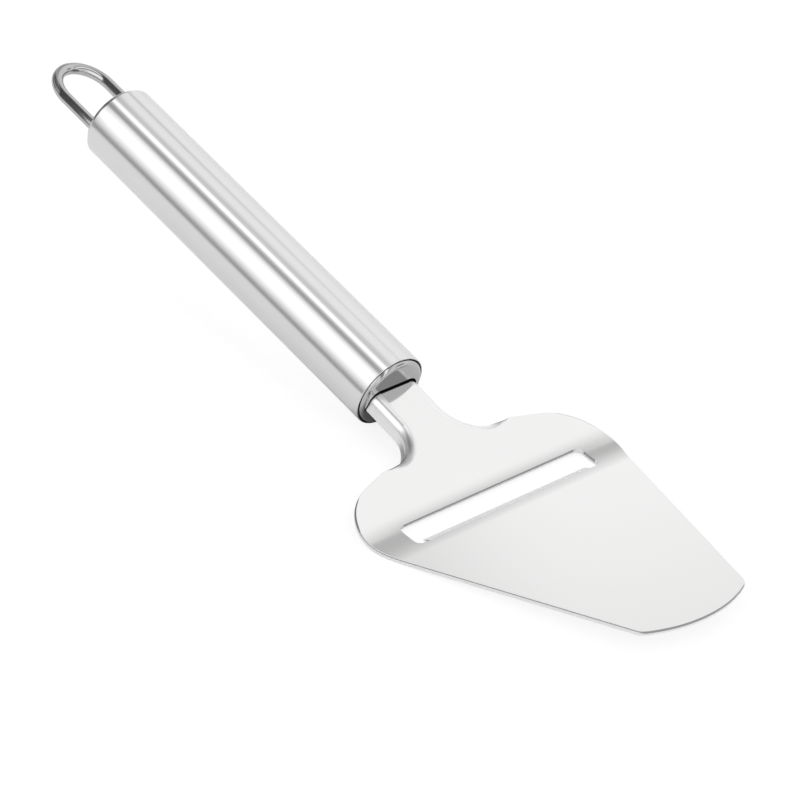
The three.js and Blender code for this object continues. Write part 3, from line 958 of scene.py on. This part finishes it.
def flange_grid(side):
    """Rows of (top place, under place, section normal, edge direction, ease) per station."""
    rows = []
    for start, outward, fold, straight in stations:
        width = outside_bend * fold + straight
        ease = min(EDGE_EASE, EASE_SHARE * width)
        row = []
        for j in range(FOLD_ROWS + 1):
            far, up, turn = section_place(fold, (width - ease) * j / FOLD_ROWS)
            flat = start + outward * far
            place = Vector((side * flat.x, flat.y, up))
            away = Vector((side * outward.x, outward.y, 0))
            normal = away * sin(turn) + UP * cos(turn)
            edge = away * cos(turn) - UP * sin(turn)
            row.append((place, place - SHEET * normal, normal, edge, ease))
        rows.append(row)
    return rows


def grid_normal(rows, i, j):
    if j == 0:
        return UP
    low, high = max(i - 1, 0), min(i + 1, len(rows) - 1)
    down, up = max(j - 1, 0), min(j + 1, FOLD_ROWS)
    along = rows[high][j][0] - rows[low][j][0]
    across = rows[i][up][0] - rows[i][down][0]
    normal = across.cross(along)
    guide = rows[i][j][2]
    if normal.length < NO_LENGTH:
        return guide
    return normal.normalized() * (1 if normal.dot(guide) > 0 else -1)


def key(x, y):
    return round(x, 4), round(y, 4)


number_of = {key(p.x, p.y): i for i, p in enumerate(rim)}


def fold_flange(side):
    rows = flange_grid(side)
    tops, unders, normals = [], [], []
    for i, row in enumerate(rows):
        start = stations[i][0]
        joined = number_of[key(side * start.x, start.y)]
        closed = i == len(rows) - 1
        for ids, layer, edge in ((tops, 0, top_ids[joined]), (unders, 1, under_ids[joined])):
            ids.append([edge] + [edge if closed else sheet.spot(p[layer]) for p in row[1:]])
        normals.append([grid_normal(rows, i, j) for j in range(FOLD_ROWS + 1)])
    for i in range(len(rows) - 1):
        _, facing, fold, straight = stations[i]
        # Only the near flange gets the band of painted shade across its fold.
        gets_fold_shade = side > 0 and facing.y > FOLD_SHADE_ENDS
        width = outside_bend * fold + straight
        for j in range(FOLD_ROWS):
            walked = width * (j + 0.5) / FOLD_ROWS
            # The last strip before a flange's edge gets the dark band, partly painted shade.
            if width - walked < TORN_SHADE_LINE and fold < TORN_SHADE_FOLD:
                sheet.kind = TORN_AND_SHADE
            elif gets_fold_shade and FOLD_SHADE_TURN[0] < walked / outside_bend < FOLD_SHADE_TURN[1]:
                sheet.kind = FOLD_SHADE
            else:
                sheet.kind = FLANGE
            around = [(i, j), (i, j + 1), (i + 1, j + 1), (i + 1, j)][::side]
            sheet.face([tops[a][b] for a, b in around], [normals[a][b] for a, b in around])
            around.reverse()
            sheet.face([unders[a][b] for a, b in around], [-normals[a][b] for a, b in around])
    return rows, tops, unders


right = fold_flange(1)
left = fold_flange(-1)
print("with flanges:", len(sheet.faces), "faces")

# %% Eased edges
def eased_ring(top, under, normal, outward, ease, band=TORN_SHADE_SIDE):
    """Numbers and normals of the points from the top skin round the edge to the underside."""
    ring, normals = [top], [normal]
    quarter = [QUARTER * k / EASE_STEPS for k in range(1, EASE_STEPS + 1)]
    for base, way, turns in ((top, 1, quarter), (under, -1, quarter[::-1])):
        if base == under:
            low = sheet.spots[top] + outward * ease - normal * (ease + band)
            ring.append(sheet.spot(low) if ease > NO_EASE else base)
            normals.append(outward)
        for turn in turns:
            place = (sheet.spots[base] + outward * ease * sin(turn)
                     - way * normal * ease * (1 - cos(turn)))
            ring.append(sheet.spot(place) if ease > NO_EASE else base)
            normals.append((outward * sin(turn) + way * normal * cos(turn)).normalized())
    return ring + [under], normals + [-normal]


def flange_rings(flange):
    rows, tops, unders = flange
    return [eased_ring(tops[i][-1], unders[i][-1], *rows[i][-1][2:]) for i in range(len(rows))]


rings = flange_rings(right)
shaded_rolls = set()
for i in free:
    normal = turned_by_bend(Vector((0, 0)), 1, rim[i].y)
    outward = turned_by_bend(edge_outward[i], 0, rim[i].y)
    # The dark band under the round is partly painted shade, and deepest at the tip.
    forward = eased(edge_outward[i].normalized().y, *TIP_FACING)
    band = TORN_SHADE_SIDE + (TORN_SHADE_TIP - TORN_SHADE_SIDE) * forward
    # Large shoulder rounds are painted dark as well: painted shade.
    if edge_ease[i] > SHOULDER_ROLL / 2:
        shaded_rolls.add(len(rings))
    rings.append(eased_ring(top_ids[i], under_ids[i], normal, outward, edge_ease[i], band))
rings += reversed(flange_rings(left))
for i, ((here, shine), (there, next_shine)) in enumerate(zip(rings, rings[1:])):
    for k in range(len(here) - 1):
        # The band under each round is partly painted shade; on large shoulder rounds the round
        # itself is painted shade.
        dull = k == EASE_STEPS or (i in shaded_rolls and k < EASE_STEPS)
        sheet.kind = TORN_AND_SHADE if dull else PLATE
        sheet.face([here[k], here[k + 1], there[k + 1], there[k]],
                   [shine[k], shine[k + 1], next_shine[k + 1], next_shine[k]])
sheet.kind = TORN_AND_SHADE
sheet.face(rings[0][0][::-1])
sheet.face(rings[-1][0])
print("with eased edges:", len(sheet.faces), "faces")

# %% Plain edges: end of the tang, slot and lip
def plain_wall(uppers, lowers, kinds=None):
    for k in range(len(uppers) - 1):
        sheet.kind = kinds[k] if kinds else PLATE
        sheet.face([uppers[k], lowers[k], lowers[k + 1], uppers[k + 1]])


last = len(rim) - 1
tail_top = left[1][0][::-1] + [top_ids[last], top_ids[0]] + right[1][0]
tail_under = left[2][0][::-1] + [under_ids[last], under_ids[0]] + right[2][0]
plain_wall(tail_top, tail_under)

slot_top = [top_ids[len(rim) + k] for k in climbs]
slot_bottom = under_ids[len(rim):len(rim) + len(slot_under)]
lands = [sheet.spot(bent(p, LIP_LAND - SHEET)) for p in slot_under]
middles = [sheet.spot(sheet.spots[a].lerp(sheet.spots[b], TORN_SHADE_SLOT))
           for a, b in zip(slot_top, lands)]


# Flat stretches of the slot's upper wall get the dark band, partly painted shade.
def wall_kind(a, b, upper):
    if all(abs(p.y - lip_front) < CLOSE for p in (a, b)):
        return GROUND
    flat = abs(a.y - b.y) < CLOSE or abs(a.x - b.x) < CLOSE
    return TORN_AND_SHADE if flat and upper else PLATE


pairs = list(sides_of(slot_under))
slot_top, middles, lands, slot_bottom = (
    ring + ring[:1] for ring in (slot_top, middles, lands, slot_bottom))
plain_wall(slot_top, middles, [wall_kind(a, b, True) for a, b in pairs])
plain_wall(middles, lands, [wall_kind(a, b, False) for a, b in pairs])
plain_wall(lands, slot_bottom)
print("with slot and tang:", len(sheet.faces), "faces")

# %% The finished blade
blade_mesh = mesh_of("bent_blade", [at_neck @ p for p in sheet.spots], [], sheet.faces)
blade_mesh.polygons.foreach_set("use_smooth", [True] * len(sheet.faces))
straight_up = at_neck.to_3x3().normalized()
blade_mesh.normals_split_custom_set([straight_up @ n for n in sheet.shine])
for finish in (satin, pressed, fold_shade_finish, torn_and_shade, ground, mill_skin_and_shade):
    blade_mesh.materials.append(finish)
# Faces behind the end of the dark skin take it: inside the tube it is the mill's skin, on the neck
# just in front of the cup it is painted shade.
for face, corners, kind in zip(blade_mesh.polygons, sheet.faces, sheet.kinds):
    reach = max(sheet.spots[i].y for i in corners)
    face.material_index = SKIN_AND_SHADE if reach < SKIN_AND_SHADE_ENDS + CLOSE else kind
blade = link("bent_blade", blade_mesh)
stand_for(blade, "blade")

# %% [markdown]
# ## The welds inside
# Four small beads hold the tang and the wire inside the handle. They can't be seen on the closed
# tool, so the measured solids stay as they are and only get the finish of an untouched weld.

# %% Weld beads
for name in ("tang_weld_upper", "tang_weld_lower", "loop_weld_left", "loop_weld_right"):
    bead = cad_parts[name].data
    bead.materials.clear()
    bead.materials.append(welded)
    print(name, "keeps its solid:", len(bead.polygons), "faces")

# %% [markdown]
# ## The floor
# The tool lies on a pale, matt floor. The camera sees it plain white with a soft shadow: for
# camera rays the floor glows by itself and takes only a little light from around. The steel
# mirrors it as it is lit, with a colour of its own for reflections: the table ends behind the
# handle on the right, where the floor beyond is darker, and right under the tube's front edge a
# contact shadow is painted into the floor. The Light Path node tells the two apart.

# %% Floor
FLOOR_REACH = 6
FLOOR_GREY = 0.22
FLOOR_GLOW = 0.835
TABLE_SLANT = 0.775
TABLE_ENDS = (0.055, 0.10)
TABLE_BEHIND = (-0.03, -0.05)
TABLE_DARK = 0.60
CONTACT_AT = (0.004, 0.0125, 0)
CONTACT_REACH = (0.014, 0.003)
CONTACT_SHADOW_LEVEL = 0.35
WHITE = (1, 1, 1, 1)


def between(tree, value, start, end, low=0, high=1):
    """A value that goes softly from low to high on the way from start to end."""
    return out(tree, "MapRange", {"Value": value, "From Min": start, "From Max": end,
                                  "To Min": low, "To Max": high},
               interpolation_type="SMOOTHSTEP")


def dimmed(tree, shade, depth):
    """One where there is no shade, less by the depth where the shade is full."""
    return math_node(tree, "MULTIPLY_ADD", shade, -depth, 1)


def blank_tree(owner):
    owner.use_nodes = True
    owner.node_tree.nodes.clear()
    return owner.node_tree


corners = [(x * FLOOR_REACH, y * FLOOR_REACH, 0) for x, y in ((-1, -1), (1, -1), (1, 1), (-1, 1))]
floor = link("floor", mesh_of("floor", corners, [], [(0, 1, 2, 3)]))
pale = bpy.data.materials.new("pale_floor")
cloth = blank_tree(pale)
by_camera = add(cloth, "LightPath").outputs["Is Camera Ray"]
spot = add(cloth, "TexCoord").outputs["Object"]
sideways, forwards, _ = add(cloth, "SeparateXYZ", {0: spot}).outputs
aslant = math_node(cloth, "MULTIPLY_ADD", forwards, TABLE_SLANT, sideways)
off_table = times(cloth, between(cloth, aslant, *TABLE_ENDS),
                  between(cloth, forwards, *TABLE_BEHIND))
from_contact = add(cloth, "VectorMath", {0: spot, 1: CONTACT_AT},
                   operation="DISTANCE").outputs["Value"]
# For reflections only: darker past the table's end, and a painted contact shadow under the tube's
# front edge.
mirrored = times(cloth, dimmed(cloth, off_table, TABLE_DARK),
                 between(cloth, from_contact, *CONTACT_REACH, 1, CONTACT_SHADOW_LEVEL))
paleness = out(cloth, "Mix", {0: by_camera, 2: mirrored, 3: FLOOR_GREY})
matt = out(cloth, "BsdfDiffuse", {"Color": paleness})
lift = out(cloth, "Emission", {"Color": WHITE, "Strength": times(cloth, by_camera, FLOOR_GLOW)})
both = out(cloth, "AddShader", {0: matt, 1: lift})
add(cloth, "OutputMaterial", {"Surface": both})
floor.data.materials.append(pale)
print("floor:", 2 * FLOOR_REACH, "m square")

# %% [markdown]
# ## The light tent
# Polished steel has no colour of its own: it shows what stands around it, so the light is drawn
# as what the steel sees. Seen along the handle, the tent is a bright panel on the right, a narrow
# one overhead and plain white cloth elsewhere, with thin dark gaps between. A colour ramp round
# the handle holds these levels. The lamps of the side panel end in front of the tool.

# %% Panels round the handle
PANELS = [(-180, 0.92), (-12, 0.36), (-6, 0.38), (3, 0.80), (12, 1.10), (20, 1.30),
          (26, 1.70), (38, 1.70), (46, 1.30), (56, 1.10), (61, 0.44), (66, 0.31), (73, 0.55),
          (78, 1.30), (82, 1.9), (86, 1.40), (91, 0.62), (99, 0.70), (110, 1.02), (125, 1.01),
          (150, 1.02), (165, 0.98), (175, 0.92), (180, 0.92)]
CLOTH_LEVEL = 0.97
tent = bpy.data.worlds.new("light_tent")
scene.world = tent
air = blank_tree(tent)
looking = add(air, "TexCoord").outputs["Generated"]
way = out(air, "Mapping", {"Vector": looking, "Rotation": (-REST_PITCH, 0, 0)},
          vector_type="TEXTURE")
east, ahead, high = add(air, "SeparateXYZ", {0: way}).outputs


def graded(value, grades):
    """A colour ramp through (position, level) stops."""
    ramp = add(air, "ValToRGB", {0: value})
    stops = ramp.color_ramp.elements
    for k, (position, level) in enumerate(grades):
        inner = 0 < k < len(grades) - 1
        stop = stops.new(position) if inner else stops[0 if k == 0 else -1]
        stop.position = position
        stop.color = (level, level, level, 1)
    return ramp.outputs[0]


def part_of_tent(**edges):
    """One inside a part of the tent; each edge says from where to where it is entered."""
    sides = {"east": east, "ahead": ahead, "high": high}
    return times(air, *(between(air, sides[name], *edge) for name, edge in edges.items()))


around = math_node(air, "ARCTAN2", high, east)
share = math_node(air, "MULTIPLY_ADD", around, 1 / (2 * pi), 0.5)
panels = graded(share, [((angle + 180) / 360, level) for angle, level in PANELS])
plain_cloth = math_node(air, "MINIMUM", panels, CLOTH_LEVEL)
lamps = math_node(air, "SUBTRACT", panels, plain_cloth)
past_lamps = part_of_tent(ahead=(0.20, 0.55), east=(0.30, 0.50))
level = math_node(air, "MULTIPLY_ADD", lamps, dimmed(air, past_lamps, 1), plain_cloth)
print("light tent with", len(PANELS), "panel edges")

# %% [markdown]
# ## Darker parts of the tent
# The front cup mirrors an opening in the cloth. Behind the handle the side panel has an open end
# and the tent an open mouth. A doorway there darkens the valley of the blade: across the bend the
# steel looks at one height of the doorway after another, so its darkness is a ramp by height. The
# cloth at the back is a little lighter on its far side and dimmer next to it.

# %% Openings and doorway
OPENING_AT = Vector((-0.60, 0.60, 0.53)).normalized()
OPENING_SIZE = sin(radians(20))
OPENING_CORE = 0.33 * OPENING_SIZE
OPENING_DARK = 0.6
PANEL_END_DARK = 0.62
MOUTH_DARK = 0.35
DOOR_AT = -0.608
DOOR_WIDENS = (-0.555, -0.60)
DOOR_WIDTH = (0.035, 0.30)
DOOR_CORE = 0.5
DOOR_DARK = 0.55
VALLEY = [(28, 0), (31, 0.03), (33, 0.12), (37, 0.42), (41, 0.76), (43, 0.90), (46, 0.92),
          (51, 0.90), (54, 0.78), (58, 0.56), (62.6, 0.36), (65.8, 0.22), (67.1, 0.11),
          (68.4, 0.03), (70, 0)]
BACK_LIGHTER, BACK_DIMMER = 0.045, 0.42

off_middle = out(air, "VectorMath", {0: way, 1: OPENING_AT}, operation="CROSS_PRODUCT")
from_middle = add(air, "VectorMath", {0: off_middle}, operation="LENGTH")
opening = between(air, from_middle.outputs["Value"], OPENING_SIZE, OPENING_CORE)
panel_end = part_of_tent(ahead=(-0.60, -0.72), east=(-0.35, 0), high=(0.1, 0.3))
tent_mouth = part_of_tent(ahead=(-0.80, -0.92), east=(-0.30, -0.05))
height = math_node(air, "ARCTAN2", times(air, ahead, -1), high)
valley = graded(times(air, height, 2 / pi), [(angle / 90, dark) for angle, dark in VALLEY])
door_width = between(air, ahead, *DOOR_WIDENS, *DOOR_WIDTH)
aside = math_node(air, "ABSOLUTE", math_node(air, "SUBTRACT", east, DOOR_AT))
in_door = between(air, math_node(air, "DIVIDE", aside, door_width), 1, DOOR_CORE)
for shade, depth in ((opening, OPENING_DARK), (panel_end, PANEL_END_DARK),
                     (tent_mouth, MOUTH_DARK), (times(air, valley, in_door), DOOR_DARK)):
    level = times(air, level, dimmed(air, shade, depth))
next_to_far = part_of_tent(east=(-0.618, -0.56))
change = math_node(air, "MULTIPLY_ADD", next_to_far, -BACK_DIMMER, BACK_LIGHTER)
back_cloth = math_node(air, "MULTIPLY_ADD", change, part_of_tent(ahead=(-0.62, -0.70)), 1)
camera_ray = add(air, "LightPath").outputs["Is Camera Ray"]
shown = math_node(air, "MAXIMUM", times(air, level, back_cloth), camera_ray)
glow = out(air, "Background", {"Color": WHITE, "Strength": shown})
add(air, "OutputWorld", {"Surface": glow})
print("doorway with", len(VALLEY), "heights;", len(air.nodes), "nodes in the tent")

# %% [markdown]
# ## A card for the loop
# Bare wire in a white tent would be white all over. One grey card, curved round the handle's axis
# behind the loop, is mirrored in the wire and draws its form. Only reflections can see it.

# %% Grey card for the loop
CARD_RADIUS = 80
CARD_TURNS = (-30, 126)
CARD_ALONG = (-157, -195)
CARD_SOFT = 0.16
CARD_GREY = 0.10
CARD_STEPS = 32


def curved_card():
    """A card curved round the handle's axis, dark in its middle and fading out at its sides."""
    spots, faces, levels_here = [], [], []
    for i in range(CARD_STEPS + 1):
        share = i / CARD_STEPS
        turn = radians(CARD_TURNS[0] + (CARD_TURNS[1] - CARD_TURNS[0]) * share)
        fade = eased(min(share, 1 - share), 0, CARD_SOFT)
        for along in CARD_ALONG:
            spots.append(on_table @ Vector((CARD_RADIUS * cos(turn), along,
                                            CARD_RADIUS * sin(turn))))
            levels_here.append(1 + (CARD_GREY - 1) * fade)
        if i:
            faces.append((2 * i - 2, 2 * i - 1, 2 * i + 1, 2 * i))
    mesh = mesh_of("loop_card", spots, [], faces)
    mesh.attributes.new("level", "FLOAT", "POINT").data.foreach_set("value", levels_here)
    paper = bpy.data.materials.new("loop_card")
    tree = blank_tree(paper)
    shade = add(tree, "Attribute", attribute_name="level").outputs["Fac"]
    even = out(tree, "Emission", {"Color": WHITE, "Strength": shade})
    add(tree, "OutputMaterial", {"Surface": even})
    mesh.materials.append(paper)
    return link("loop_card", mesh)


loop_card = curved_card()
loop_card.visible_camera = loop_card.visible_diffuse = loop_card.visible_shadow = False
print("card for the loop:", len(loop_card.data.polygons), "faces")

# %% [markdown]
# ## Colour of the render
# The render keeps colours as written, with the Standard view transform.

# %% Finish
scene.view_settings.view_transform = "Standard"
